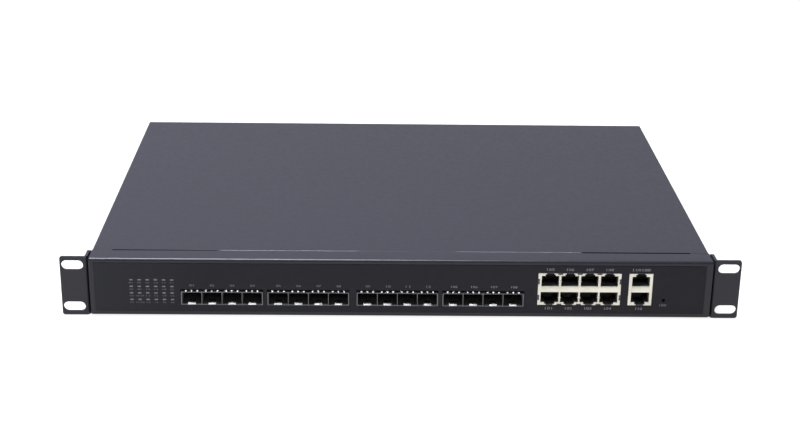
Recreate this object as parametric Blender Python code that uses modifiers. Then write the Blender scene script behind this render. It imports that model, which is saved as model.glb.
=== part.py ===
"""A one-unit rackmount network switch: casing, rack ears, ports, boards, mains supply and fans.

Sizes are in millimetres and the helpers turn them into metres. Every piece is placed from the front
datum: x runs to the right across the front, y runs back from the front panel's face, and z runs up
from the underside of the casing.
"""
import math

import bmesh
import bpy
from mathutils import Matrix, Vector

MM = 0.001

# Casing
PANEL_WIDTH = 442.6
COVER_WIDTH = 441.4
BODY_HEIGHT = 42.7
DEPTH = 315.0
LIP_DEPTH = 16.2
LIP_RELIEF = 0.9
LIP_RELIEFS = ((-206.3, -131.3), (129.3, 207.0))
SHEET = 1.0
GAP = 0.3
BEND = 1.2
PANEL_BEND = 2.0
BASE_FRONT_Y = 1.6
FOOT_HEIGHT = 1.9
FOOT_RADIUS = 7.0
FRONT_FLANGE = 6.0
TONGUE = 8.0
REAR_TAB, REAR_TAB_HALF = 9.0, 11.0
COVER_FLAT = 212.0

# Rack ears, on the 19-inch pattern
RACK_WIDTH = 482.6
SLOT_SPAN = 465.1
SLOT_PITCH = 31.75
SLOT_LENGTH = 15.5
SLOT_HEIGHT = 7.2
EAR_THICKNESS = 2.0
EAR_FACE_Y = 1.1
EAR_INNER_X = 221.7
EAR_LOW, EAR_HIGH = -1.3, 43.3
EAR_MIDDLE = (EAR_LOW + EAR_HIGH) / 2
EAR_LEG_EDGE, EAR_LEG_END = 14.5, 38.0
EAR_LEG_SLOPE = 15.0
EAR_CORNER = 1.7
EAR_SCREWS = ((9.0, 7.65), (9.0, 34.35), (31.0, 21.0))

# Front film
FILM = 0.3
FILM_FACE_Y = -0.4
FILM_X = (-217.3, 216.0)
FILM_Z = (2.5, 39.2)

# Optics cages
CAGE_STARTS = (-156.6, -95.4, -32.1, 29.0)
CAGE_WIDTH = 57.9
CAGE_Z = (7.9, 17.8)
CAGE_FRONT_Y, CAGE_BACK_Y = -1.2, 47.0
CAGE_PITCH = 14.25
CAGE_SHEET = 0.45
CAGE_PORTS = 4
SPRING_ROOM = 1.3

# Modular jacks
JACK_Z = (9.3, 33.6)
JACK_TOP_BEHIND = 34.8
JACK_FRONT_Y, JACK_BACK_Y = -0.9, 33.0
JACK_POCKET = 13.5
JACK_WIDTH = 12.2
JACK_HEIGHT = 6.85
JACK_ROWS = (24.1, 12.0)
WIDE_BLOCK_X = (96.75, 155.8)
WIDE_BLOCK_PORTS = (105.3, 119.3, 133.3, 147.4)
NARROW_BLOCK_X = (161.4, 178.3)
NARROW_BLOCK_PORTS = (169.9,)

# Status windows
LED_FIRST_X, LED_PITCH_X, LED_COLUMNS = -191.5, 5.74, 6
LED_FIRST_Z, LED_PITCH_Z, LED_ROWS = 11.5, 5.05, 4

# Reset button
RESET_X, RESET_Z = 187.0, 13.0
RESET_HOLE = 1.15

# Boards
BOARD_Z = (5.8, 7.4)
BOARD_TOP = BOARD_Z[1] + GAP
STANDOFF_TOP = BOARD_Z[0] - GAP
MAIN_BOARD = ((-206.0, 3.0), (206.0, 168.0))
PSU_BOARD = ((-213.0, 180.0), (-106.0, 275.0))
MAIN_STANDOFFS = [(x, y) for x in (-198.0, -20.0, 198.0) for y in (62.0, 158.0)]
PSU_STANDOFFS = [(x, y) for x in (-208.0, -111.0) for y in (186.0, 269.0)]

# Rear panel
INLET_X, INLET_Z = -186.0, 21.0
ROCKER_X, ROCKER_Z = -147.0, 21.0
ROCKER_RADIUS = 7.9
ROCKER_TILT = math.radians(12.0)
ROCKER_AXIS_Y = DEPTH + 0.4
EARTH_X, EARTH_Z = -122.0, 12.0
FAN_XS = (-66.0, -11.0, 44.0)
FAN_SIZE, FAN_DEPTH, FAN_BORE = 40.0, 20.0, 19.0
FAN_Z = SHEET + 0.35 + FAN_SIZE / 2
FAN_REAR_Y = DEPTH - SHEET - GAP
SPARE_X, SPARE_Z = 150.0, 20.0
SPARE_PLATE = (100.0, 27.0)
SPARE_OPENING = (88.0, 22.0)
COVER_SCREW_XS = (-205.0, 81.0, 205.0)
COVER_SCREW_Z = 37.0
REAR_Y = ROCKER_AXIS_Y + ROCKER_RADIUS * math.sin(math.radians(36.0) + ROCKER_TILT)


def clear_scene():
    for old in list(bpy.data.objects):
        bpy.data.objects.remove(old, do_unlink=True)


def make_collection(name):
    group = bpy.data.collections.new(name)
    bpy.context.scene.collection.children.link(group)
    return group


clear_scene()
pieces = make_collection("network_switch")
cutters = make_collection("cutters")
datum = bpy.data.objects.new("front_datum", None)
datum.location = Vector((0, -(CAGE_FRONT_Y + REAR_Y) / 2, FOOT_HEIGHT)) * MM
pieces.objects.link(datum)


def make_material(name, colour, roughness, metallic):
    """A plain Principled material."""
    material = bpy.data.materials.new(name)
    material.use_nodes = True
    shader = material.node_tree.nodes["Principled BSDF"]
    shader.inputs["Base Color"].default_value = (*colour, 1)
    shader.inputs["Roughness"].default_value = roughness
    shader.inputs["Metallic"].default_value = metallic
    return material


PAINT = make_material("casing_paint", (0.085, 0.085, 0.11), 0.5, 0.0)
FILM_INK = make_material("front_film", (0.025, 0.024, 0.033), 0.45, 0.0)
NICKEL = make_material("nickel_plate", (0.75, 0.72, 0.62), 0.3, 1.0)
STEEL = make_material("zinc_steel", (0.6, 0.61, 0.63), 0.35, 1.0)
BRASS = make_material("brass", (0.78, 0.6, 0.3), 0.3, 1.0)
ALUMINIUM = make_material("aluminium", (0.7, 0.7, 0.72), 0.4, 1.0)
BLACK = make_material("black_plastic", (0.02, 0.02, 0.022), 0.5, 0.0)
CLEAR = make_material("light_guide", (0.7, 0.72, 0.74), 0.25, 0.0)
RUBBER = make_material("rubber", (0.02, 0.02, 0.02), 0.8, 0.0)
BOARD = make_material("circuit_board", (0.02, 0.15, 0.06), 0.4, 0.0)
SLEEVE = make_material("capacitor_sleeve", (0.03, 0.05, 0.15), 0.4, 0.0)
TAPE = make_material("transformer_tape", (0.75, 0.55, 0.1), 0.5, 0.0)
WIRE_BROWN = make_material("brown_wire", (0.2, 0.09, 0.04), 0.45, 0.0)
WIRE_BLUE = make_material("blue_wire", (0.05, 0.15, 0.5), 0.45, 0.0)
WIRE_GREEN = make_material("green_wire", (0.15, 0.4, 0.08), 0.45, 0.0)
WIRE_BLACK = make_material("black_wire", (0.02, 0.02, 0.02), 0.45, 0.0)


# Shapes, in millimetres, added to a bmesh

def add_box(bm, low, high):
    size = Vector(high) - Vector(low)
    middle = (Vector(high) + Vector(low)) / 2
    bmesh.ops.create_cube(bm, size=1, matrix=Matrix.Translation(middle) @ Matrix.Diagonal((*size, 1)))


def add_cylinder(bm, start, end, radius, sides=16):
    start, end = Vector(start), Vector(end)
    turn = (end - start).to_track_quat("Z", "Y").to_matrix().to_4x4()
    matrix = Matrix.Translation((start + end) / 2) @ turn
    bmesh.ops.create_cone(bm, cap_ends=True, segments=sides, radius1=radius, radius2=radius,
                          depth=(end - start).length, matrix=matrix)


def along(axis, u, v, w):
    """The point with u and v across an axis and w along it."""
    return {"x": (w, u, v), "y": (u, w, v), "z": (u, v, w)}[axis]


def add_prism(bm, outline, axis, low, high):
    """Extrude a flat outline of (y, z), (x, z) or (x, y) points along the axis x, y or z."""
    face = bm.faces.new([bm.verts.new(along(axis, u, v, low)) for u, v in outline])
    extruded = bmesh.ops.extrude_face_region(bm, geom=[face])["geom"]
    far_end = [item for item in extruded if isinstance(item, bmesh.types.BMVert)]
    bmesh.ops.translate(bm, vec=along(axis, 0, 0, high - low), verts=far_end)
    bmesh.ops.recalc_face_normals(bm, faces=bm.faces)


def arc(middle, radius, start, end, steps):
    """Points on an arc, its ends included, for angles in degrees."""
    angles = [math.radians(start + (end - start) * step / steps) for step in range(steps + 1)]
    return [(middle[0] + radius * math.cos(a), middle[1] + radius * math.sin(a)) for a in angles]


def slot_outline(middle, length, height, steps=10):
    """A level slot with full round ends."""
    reach = (length - height) / 2
    right = arc((middle[0] + reach, middle[1]), height / 2, -90, 90, steps)
    left = arc((middle[0] - reach, middle[1]), height / 2, 90, 270, steps)
    return right + left


def upright_slot(middle, width, length):
    """An upright slot with cut corners."""
    u, v = middle
    half, tip, shoulder = width / 2, length / 2, length / 2 - width / 3
    right = [(half / 2, -tip), (half, -shoulder), (half, shoulder), (half / 2, tip)]
    return [(u + across, v + up) for across, up in right] + [(u - across, v - up) for across, up in right]


def drop_faces(bm, *normals):
    """Open a box by deleting the faces that point these ways."""
    bm.normal_update()
    doomed = [face for face in bm.faces if any(face.normal.dot(Vector(n)) > 0.9 for n in normals)]
    bmesh.ops.delete(bm, geom=doomed, context="FACES")


def bend_edges(bm, radius, segments=3):
    """Round every edge between two faces, as a folded sheet has it."""
    folds = [edge for edge in bm.edges if len(edge.link_faces) == 2]
    bmesh.ops.bevel(bm, geom=folds, offset=radius, offset_type="OFFSET", segments=segments,
                    profile=0.5, affect="EDGES")


def split_at(bm, point, normal, trim=False):
    """Split every face along a plane, and with trim delete what lies on the normal's side of it."""
    everything = list(bm.verts) + list(bm.edges) + list(bm.faces)
    bmesh.ops.bisect_plane(bm, geom=everything, plane_co=point, plane_no=normal, clear_outer=trim)


def fold_out(bm, chosen, *steps):
    """Extrude the boundary edges chosen by their middles by each step in turn, as flanges and tongues."""
    edges = [edge for edge in bm.edges
             if edge.is_boundary and chosen((edge.verts[0].co + edge.verts[1].co) / 2)]
    for step in steps:
        grown = bmesh.ops.extrude_edge_only(bm, edges=edges)["geom"]
        moved = [item for item in grown if isinstance(item, bmesh.types.BMVert)]
        bmesh.ops.translate(bm, vec=step, verts=moved)
        edges = [item for item in grown if isinstance(item, bmesh.types.BMEdge)]


# Objects

def make_object(name, bm, material, at=(0, 0, 0), turn=(0, 0, 0), smooth=False, group=pieces):
    """Turn a bmesh in millimetres into an object on the front datum."""
    bmesh.ops.scale(bm, vec=(MM, MM, MM), verts=bm.verts)
    mesh = bpy.data.meshes.new(name)
    bm.to_mesh(mesh)
    bm.free()
    if material:
        mesh.materials.append(material)
    if smooth:
        mesh.shade_smooth()
        mesh.set_sharp_from_angle(angle=math.radians(35))
    obj = bpy.data.objects.new(name, mesh)
    group.objects.link(obj)
    obj.parent = datum
    obj.location = Vector(at) * MM
    obj.rotation_euler = turn
    return obj


def make_cutter(name, bm):
    tool = make_object(name, bm, None, group=cutters)
    tool.hide_render = True
    tool.display_type = "WIRE"
    return tool


def combine(obj, operation, *tools):
    for tool in tools:
        boolean = obj.modifiers.new(tool.name, "BOOLEAN")
        boolean.operation = operation
        boolean.object = tool
        boolean.solver = "EXACT"


def thicken(obj, thickness):
    """Give a folded surface its sheet thickness, inwards."""
    sheet = obj.modifiers.new("sheet", "SOLIDIFY")
    sheet.thickness = thickness * MM
    sheet.offset = -1
    sheet.use_even_offset = True


def make_box(name, low, high, material):
    bm = bmesh.new()
    add_box(bm, low, high)
    return make_object(name, bm, material)


def make_turned(name, profile, material, at, turn=(0, 0, 0), steps=16):
    """Turn a profile of (radius, height) points, listed from the top down, about its own z axis."""
    bm = bmesh.new()
    verts = [bm.verts.new((radius, 0, height)) for radius, height in profile]
    for upper, lower in zip(verts, verts[1:]):
        bm.edges.new((upper, lower))
    obj = make_object(name, bm, material, at, turn)
    screw = obj.modifiers.new("turned", "SCREW")
    screw.axis = "Z"
    screw.steps = steps
    screw.render_steps = steps
    screw.use_merge_vertices = True
    screw.merge_threshold = 0.00001
    screw.use_smooth_shade = True
    return obj


def smooth_route(points, parts=3):
    """Points along a smooth curve through the route's own points."""
    ends = [points[0]] + list(points) + [points[-1]]
    rows = [Vector(point) for point in ends]
    route = []
    for before, start, end, after in zip(rows, rows[1:], rows[2:], rows[3:]):
        for part in range(parts):
            t = part / parts
            pull = (end - before) * t + (2 * before - 5 * start + 4 * end - after) * t * t
            route.append(start + 0.5 * (pull + (3 * start - before - 3 * end + after) * t ** 3))
    return route + [rows[-1]]


def make_wire(name, points, radius, material):
    """A round wire along a smooth route."""
    route = smooth_route(points)
    curve = bpy.data.curves.new(name, "CURVE")
    curve.dimensions = "3D"
    spline = curve.splines.new("POLY")
    spline.points.add(len(route) - 1)
    for point, place in zip(spline.points, route):
        point.co = (*(place * MM), 1)
    curve.bevel_depth = radius * MM
    curve.bevel_resolution = 2
    curve.use_fill_caps = True
    curve.materials.append(material)
    wire = bpy.data.objects.new(name, curve)
    pieces.objects.link(wire)
    wire.parent = datum
    return wire


# Casing

def port_openings(name, room, low, high):
    """Cutter for the holes in front of the ports, the room wider than each port on every side."""
    bm = bmesh.new()
    for start in CAGE_STARTS:
        add_box(bm, (start - room, low, CAGE_Z[0] - room),
                (start + CAGE_WIDTH + room, high, CAGE_Z[1] + SPRING_ROOM + room))
    for left, right in (WIDE_BLOCK_X, NARROW_BLOCK_X):
        add_box(bm, (left - room, low, JACK_Z[0] - room), (right + room, high, JACK_Z[1] + room))
    add_cylinder(bm, (RESET_X, low, RESET_Z), (RESET_X, high, RESET_Z), RESET_HOLE + room - GAP, 16)
    return make_cutter(name, bm)


def led_places():
    for column in range(LED_COLUMNS):
        for row in range(LED_ROWS):
            yield LED_FIRST_X + column * LED_PITCH_X, LED_FIRST_Z + row * LED_PITCH_Z


def led_openings():
    bm = bmesh.new()
    for x, z in led_places():
        add_box(bm, (x - 1.6, -2, z - 1.0), (x + 1.6, 3, z + 1.0))
    return make_cutter("led_openings", bm)


def ear_screw_holes():
    bm = bmesh.new()
    for y, z in EAR_SCREWS:
        for side in (-1, 1):
            add_cylinder(bm, (side * 214, y, z), (side * 226, y, z), 2.3, 12)
    return make_cutter("ear_screw_holes", bm)


def lip_reliefs():
    """Cutter that widens the seam behind the lip towards both ends."""
    bm = bmesh.new()
    for left, right in LIP_RELIEFS:
        add_box(bm, (left, LIP_DEPTH - LIP_RELIEF, BODY_HEIGHT - 3), (right, LIP_DEPTH + 2, BODY_HEIGHT + 2))
    return make_cutter("lip_reliefs", bm)


def make_front_panel(screw_holes):
    bm = bmesh.new()
    add_box(bm, (-PANEL_WIDTH / 2, 0, 0), (PANEL_WIDTH / 2, LIP_DEPTH, BODY_HEIGHT))
    drop_faces(bm, (0, 1, 0), (0, 0, -1))
    bend_share = bm.edges.layers.float.new("bevel_weight_edge")
    for edge in bm.edges:
        if len(edge.link_faces) == 2:
            middle = (edge.verts[0].co + edge.verts[1].co) / 2
            edge[bend_share] = 1 if abs(middle.x) < 1 else BEND / PANEL_BEND
    panel = make_object("front_panel", bm, PAINT)
    folds = panel.modifiers.new("folds", "BEVEL")
    folds.width = PANEL_BEND * MM
    folds.segments = 4
    folds.limit_method = "WEIGHT"
    folds.use_clamp_overlap = False
    thicken(panel, SHEET)
    combine(panel, "DIFFERENCE", port_openings("panel_openings", GAP, -2, 3), led_openings(), lip_reliefs(),
            screw_holes)


def make_front_overlay():
    bm = bmesh.new()
    add_box(bm, (FILM_X[0], FILM_FACE_Y, FILM_Z[0]), (FILM_X[1], FILM_FACE_Y + FILM, FILM_Z[1]))
    overlay = make_object("front_overlay", bm, FILM_INK)
    combine(overlay, "DIFFERENCE", port_openings("overlay_openings", GAP + 0.15, -2, 3))


def side_vents():
    """Cutter for the row of upright air slots in both sides of the cover."""
    bm = bmesh.new()
    outlines = [upright_slot((72 + 8 * place, 21.0), 3.4, 22.0) for place in range(17)]
    for outline in outlines:
        add_prism(bm, outline, "x", -225, -215)
        add_prism(bm, outline, "x", 215, 225)
    return make_cutter("side_vents", bm)


def cover_screw_holes():
    bm = bmesh.new()
    for x in COVER_SCREW_XS:
        add_cylinder(bm, (x, DEPTH - 3, COVER_SCREW_Z), (x, DEPTH + 3, COVER_SCREW_Z), 1.9, 10)
    return make_cutter("cover_screw_holes", bm)


def make_top_cover(screw_holes, rear_holes):
    front, back = LIP_DEPTH + GAP, DEPTH + GAP + SHEET
    bm = bmesh.new()
    add_box(bm, (-COVER_WIDTH / 2, front, GAP), (COVER_WIDTH / 2, back, BODY_HEIGHT))
    drop_faces(bm, (0, 1, 0), (0, -1, 0), (0, 0, -1))
    bend_edges(bm, BEND)
    tabs = [(max(x - REAR_TAB_HALF, -COVER_FLAT), min(x + REAR_TAB_HALF, COVER_FLAT)) for x in COVER_SCREW_XS]
    for x in (end for tab in tabs for end in tab):
        split_at(bm, (x, 0, 0), (1, 0, 0))
    fold_out(bm, lambda middle: abs(middle.x) < COVER_FLAT and middle.y < front + 1,
             (0, 0, -SHEET - GAP), (0, -TONGUE, 0))
    fold_out(bm, lambda middle: any(low < middle.x < high for low, high in tabs) and middle.y > back - 1,
             (0, 0, -REAR_TAB))
    cover = make_object("top_cover", bm, PAINT)
    thicken(cover, SHEET)
    combine(cover, "DIFFERENCE", side_vents(), screw_holes, rear_holes)


def fan_grille(x):
    """Level slots cut to a round field in front of one fan."""
    bm = bmesh.new()
    for row in range(-4, 5):
        height = row * 3.9
        reach = math.sqrt((FAN_BORE - 0.5) ** 2 - height ** 2)
        low, high = FAN_Z + height - 1.3, FAN_Z + height + 1.3
        add_box(bm, (x - reach, DEPTH - 4, low), (x + reach, DEPTH + 2, high))
    return bm


def rear_openings():
    """Cutter for the inlet, power switch, earth stud and spare bay holes."""
    bm = bmesh.new()
    low, high = DEPTH - 4, DEPTH + 2
    for (x, z), (width, height) in (((INLET_X, INLET_Z), (27.8, 20.4)), ((ROCKER_X, ROCKER_Z), (13.4, 19.4)),
                                    ((SPARE_X, SPARE_Z), SPARE_OPENING)):
        add_box(bm, (x - width / 2, low, z - height / 2), (x + width / 2, high, z + height / 2))
    add_cylinder(bm, (EARTH_X, low, EARTH_Z), (EARTH_X, high, EARTH_Z), 2.3, 12)
    return make_cutter("rear_openings", bm)


def side_windows():
    """Cutter for the openings in the base's sides, behind the cover's air slots."""
    bm = bmesh.new()
    for side in (-1, 1):
        add_box(bm, (side * 220 - 3, 67, 8), (side * 220 + 3, 205, 34))
    return make_cutter("side_windows", bm)


def standoffs():
    """The pressed-in standoffs that the two boards rest on."""
    bm = bmesh.new()
    for x, y in MAIN_STANDOFFS + PSU_STANDOFFS:
        add_cylinder(bm, (x, y, SHEET / 2), (x, y, STANDOFF_TOP), 3.0, 10)
    return make_cutter("standoffs", bm)


def make_chassis_base(screw_holes, rear_holes):
    half = COVER_WIDTH / 2 - SHEET - GAP
    bm = bmesh.new()
    add_box(bm, (-half, BASE_FRONT_Y, 0), (half, DEPTH, BODY_HEIGHT - SHEET - 0.5))
    drop_faces(bm, (0, -1, 0), (0, 0, 1))
    bend_edges(bm, BEND, 2)
    fold_out(bm, lambda middle: middle.y < BASE_FRONT_Y + 1 and middle.z < 0.1, (0, 0, FRONT_FLANGE))
    base = make_object("chassis_base", bm, PAINT)
    thicken(base, SHEET)
    grilles = [make_cutter(f"fan_grille_{n}", fan_grille(x)) for n, x in enumerate(FAN_XS, 1)]
    combine(base, "DIFFERENCE", rear_openings(), side_windows(), screw_holes, rear_holes, *grilles)
    combine(base, "UNION", standoffs())


def make_feet():
    profile = [(0, FOOT_HEIGHT - GAP), (FOOT_RADIUS, FOOT_HEIGHT - GAP), (FOOT_RADIUS, 0.5),
               (FOOT_RADIUS - 0.6, 0), (0, 0)]
    for row, y in (("front", 34.0), ("rear", 281.0)):
        for side, x in (("left", -190.0), ("right", 190.0)):
            make_turned(f"foot_{row}_{side}", profile, RUBBER, (x, y, -FOOT_HEIGHT), steps=20)


# Rack ears

def make_ear(name, side, screw_holes):
    outer = RACK_WIDTH / 2
    bm = bmesh.new()
    add_box(bm, (EAR_INNER_X, EAR_FACE_Y, EAR_LOW), (outer, EAR_LEG_END, EAR_HIGH))
    drop_faces(bm, (1, 0, 0), (0, 1, 0), (0, 0, 1), (0, 0, -1))
    run = EAR_LEG_END - EAR_LEG_EDGE
    for height, way in ((EAR_LOW, -1), (EAR_HIGH, 1)):
        split_at(bm, (0, EAR_LEG_EDGE, height), (0, EAR_LEG_SLOPE, way * run), trim=True)
    corners = [v for v in bm.verts if v.co.x > outer - 1 or v.co.y > EAR_LEG_EDGE - 1]
    bmesh.ops.bevel(bm, geom=corners, offset=EAR_CORNER, segments=3, profile=0.5, affect="VERTICES")
    bend_edges(bm, EAR_THICKNESS + 0.6, 4)
    if side < 0:
        bmesh.ops.scale(bm, vec=(-1, 1, 1), verts=bm.verts)
        bmesh.ops.reverse_faces(bm, faces=bm.faces)
    ear = make_object(name, bm, PAINT)
    thicken(ear, EAR_THICKNESS)
    slots = bmesh.new()
    for height in (-SLOT_PITCH / 2, SLOT_PITCH / 2):
        outline = slot_outline((side * SLOT_SPAN / 2, EAR_MIDDLE + height), SLOT_LENGTH, SLOT_HEIGHT)
        add_prism(slots, outline, "y", 0, 6)
    combine(ear, "DIFFERENCE", make_cutter(f"{name}_slots", slots), screw_holes)


def pan_screw(name, at, turn, shank, head=3.6, radius=1.9):
    """A pan-head screw: its own z axis points out of the head, and its origin is under the head."""
    profile = [(0, 2.0), (head - 1.0, 2.0), (head, 1.1), (head, 0), (radius, 0), (radius, -shank),
               (0, -shank)]
    make_turned(name, profile, STEEL, at, turn, steps=12)


def make_ear_screws():
    for label, side in (("left", -1), ("right", 1)):
        for number, (y, z) in enumerate(EAR_SCREWS, 1):
            at = (side * (EAR_INNER_X + EAR_THICKNESS + GAP), y, z)
            pan_screw(f"ear_screw_{label}_{number}", at, (0, side * math.pi / 2, 0), 8.0)


def make_cover_screws():
    for number, x in enumerate(COVER_SCREW_XS, 1):
        at = (x, DEPTH + SHEET + 2 * GAP, COVER_SCREW_Z)
        pan_screw(f"cover_screw_{number}", at, (-math.pi / 2, 0, 0), 5.0, 2.8, 1.5)


# Ports

def make_cage(number, start):
    bm = bmesh.new()
    add_box(bm, (start, CAGE_FRONT_Y, CAGE_Z[0]), (start + CAGE_WIDTH, CAGE_BACK_Y, CAGE_Z[1]))
    cage = make_object(f"sfp_cage_{number}", bm, NICKEL)
    pockets = bmesh.new()
    first = start + CAGE_WIDTH / 2 - (CAGE_PORTS - 1) * CAGE_PITCH / 2
    half = (CAGE_PITCH - CAGE_SHEET) / 2
    for port in range(CAGE_PORTS):
        middle = first + port * CAGE_PITCH
        add_box(pockets, (middle - half, CAGE_FRONT_Y - 2, CAGE_Z[0] + CAGE_SHEET),
                (middle + half, CAGE_BACK_Y - CAGE_SHEET, CAGE_Z[1] - CAGE_SHEET))
    combine(cage, "DIFFERENCE", make_cutter(f"cage_pockets_{number}", pockets))


def jack_outline(x, base, way):
    """A jack's mouth with its stepped latch notch; way is 1 with the notch on top, or -1 below."""
    steps = ((JACK_WIDTH / 2, 0), (JACK_WIDTH / 2, JACK_HEIGHT), (4.0, JACK_HEIGHT),
             (4.0, JACK_HEIGHT + 1.2), (2.4, JACK_HEIGHT + 1.2), (2.4, JACK_HEIGHT + 2.8))
    right = [(x + across, base + way * up) for across, up in steps]
    left = [(x - across, base + way * up) for across, up in reversed(steps)]
    return right + left


def make_jack_block(name, sides, ports):
    left, right = sides
    behind = SHEET + GAP
    outline = [(JACK_FRONT_Y, JACK_Z[0]), (behind, JACK_Z[0]), (behind, BOARD_TOP), (JACK_BACK_Y, BOARD_TOP),
               (JACK_BACK_Y, JACK_TOP_BEHIND), (behind, JACK_TOP_BEHIND), (behind, JACK_Z[1]),
               (JACK_FRONT_Y, JACK_Z[1])]
    bm = bmesh.new()
    add_prism(bm, outline, "x", left, right)
    block = make_object(name, bm, NICKEL)
    mouths = bmesh.new()
    for x in ports:
        add_prism(mouths, jack_outline(x, JACK_ROWS[0], 1), "y", JACK_FRONT_Y - 2, JACK_POCKET)
        add_prism(mouths, jack_outline(x, JACK_ROWS[1] + JACK_HEIGHT, -1), "y", JACK_FRONT_Y - 2, JACK_POCKET)
    combine(block, "DIFFERENCE", make_cutter(f"{name}_mouths", mouths))
    return block


def notch_shield_edges(block):
    """Cut the small notches in the wide block's shield: between its ports, and in both sides."""
    bm = bmesh.new()
    gaps = [(a + b) / 2 for a, b in zip(WIDE_BLOCK_PORTS, WIDE_BLOCK_PORTS[1:])]
    places = [(x, z) for x in gaps for z in JACK_Z]
    places += [(x, z) for x in WIDE_BLOCK_X for z in (14.8, 27.6)]
    for x, z in places:
        add_box(bm, (x - 1.1, JACK_FRONT_Y - 2, z - 1.1), (x + 1.1, SHEET, z + 1.1))
    combine(block, "DIFFERENCE", make_cutter("shield_notches", bm))


def make_light_pipe():
    """A block behind the panel, with a stub in each of its status windows."""
    last_x = LED_FIRST_X + (LED_COLUMNS - 1) * LED_PITCH_X
    last_z = LED_FIRST_Z + (LED_ROWS - 1) * LED_PITCH_Z
    block = make_box("led_light_pipe", (LED_FIRST_X - 3, SHEET + GAP, BOARD_TOP),
                     (last_x + 3, 9, last_z + 2.5), CLEAR)
    stubs = bmesh.new()
    for x, z in led_places():
        add_box(stubs, (x - 1.3, 0.1, z - 0.7), (x + 1.3, 3, z + 0.7))
    combine(block, "UNION", make_cutter("light_stubs", stubs))


def make_reset_switch():
    body = make_box("reset_switch_body", (RESET_X - 3, 6.5, BOARD_TOP), (RESET_X + 3, 11, RESET_Z + 3), BLACK)
    bore = bmesh.new()
    add_cylinder(bore, (RESET_X, 5, RESET_Z), (RESET_X, 9.5, RESET_Z), 2.0, 16)
    combine(body, "DIFFERENCE", make_cutter("reset_bore", bore))
    profile = [(0, 6.0), (1.7, 6.0), (1.7, 0.3), (1.4, 0), (0, 0)]
    make_turned("reset_button", profile, BLACK, (RESET_X, 2.6, RESET_Z), (-math.pi / 2, 0, 0))


# Boards and what stands on them

def make_board(name, corners):
    (left, front), (right, back) = corners
    return make_box(name, (left, front, BOARD_Z[0]), (right, back, BOARD_Z[1]), BOARD)


def make_heatsink(name, x, y, low, size, fin_height, fins):
    """A finned block: a comb outline run front to back."""
    half, foot, pitch = size / 2, low + 3.0, size / fins
    outline = [(x - half, foot), (x - half, low), (x + half, low), (x + half, foot)]
    for fin in reversed(range(fins)):
        middle = x - half + pitch * (fin + 0.5)
        outline += [(middle + 0.8, foot), (middle + 0.8, foot + fin_height),
                    (middle - 0.8, foot + fin_height), (middle - 0.8, foot)]
    bm = bmesh.new()
    add_prism(bm, outline, "y", y - half, y + half)
    make_object(name, bm, ALUMINIUM)


def make_chip(name, x, y, size):
    half = size / 2
    make_box(name, (x - half, y - half, BOARD_TOP), (x + half, y + half, BOARD_TOP + 2.4), BLACK)
    return BOARD_TOP + 2.4 + GAP


def make_main_board():
    make_board("main_board", MAIN_BOARD)
    for use, x in (("switch", 75.0), ("optics", -85.0)):
        top = make_chip(f"{use}_chip", x, 105.0, 31.0)
        make_heatsink(f"{use}_heatsink", x, 105.0, top, 42.0, 12.0, 9)


def make_power_supply():
    make_board("psu_board", PSU_BOARD)
    make_box("psu_transformer", (-172, 212, BOARD_TOP), (-142, 244, BOARD_TOP + 24), TAPE)
    profile = [(0, 28.0), (10.2, 28.0), (11.0, 27.2), (11.0, 0), (0, 0)]
    make_turned("psu_capacitor", profile, SLEEVE, (-193.0, 226.0, BOARD_TOP))
    fins = [(-130.0 + 6 * step, -130.0 + 6 * step + 1.6) for step in range(3)]
    outline = [(-132.0, BOARD_TOP), (-114.0, BOARD_TOP), (-114.0, BOARD_TOP + 3)]
    foot, tip = BOARD_TOP + 3, BOARD_TOP + 26
    for low, high in reversed(fins):
        outline += [(high, foot), (high, tip), (low, tip), (low, foot)]
    outline.append((-132.0, foot))
    bm = bmesh.new()
    add_prism(bm, outline, "y", 204, 264)
    make_object("psu_heatsink", bm, ALUMINIUM)


# Rear panel

def chamfered_mouth(x, z, width, height, cut):
    """The inlet's mouth: a rectangle with its two upper corners cut."""
    half, rise = width / 2, height / 2
    return [(x - half, z - rise), (x + half, z - rise), (x + half, z + rise - cut),
            (x + half - cut, z + rise), (x - half + cut, z + rise), (x - half, z + rise - cut)]


def make_inlet():
    flange_y = DEPTH + GAP
    inlet = make_box("ac_inlet", (INLET_X - 15.5, flange_y, INLET_Z - 12),
                     (INLET_X + 15.5, flange_y + 2, INLET_Z + 12), BLACK)
    body = bmesh.new()
    add_box(body, (INLET_X - 13.6, DEPTH - 16, INLET_Z - 9.9), (INLET_X + 13.6, flange_y + 1, INLET_Z + 9.9))
    mouth = bmesh.new()
    add_prism(mouth, chamfered_mouth(INLET_X, INLET_Z, 24.4, 16.6, 4.6), "y", DEPTH - 13.5, flange_y + 4)
    holes = bmesh.new()
    pins = (("inlet_pin_live", -7.0, -2.0), ("inlet_pin_earth", 0.0, 2.0), ("inlet_pin_neutral", 7.0, -2.0))
    for name, across, up in pins:
        x, z = INLET_X + across, INLET_Z + up
        add_box(holes, (x - 1.3, DEPTH - 18, z - 2.3), (x + 1.3, DEPTH - 10, z + 2.3))
        make_box(name, (x - 1.0, DEPTH - 22, z - 2.0), (x + 1.0, DEPTH - 1, z + 2.0), BRASS)
    combine(inlet, "UNION", make_cutter("inlet_body", body))
    combine(inlet, "DIFFERENCE", make_cutter("inlet_mouth", mouth), make_cutter("inlet_pin_holes", holes))


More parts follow.
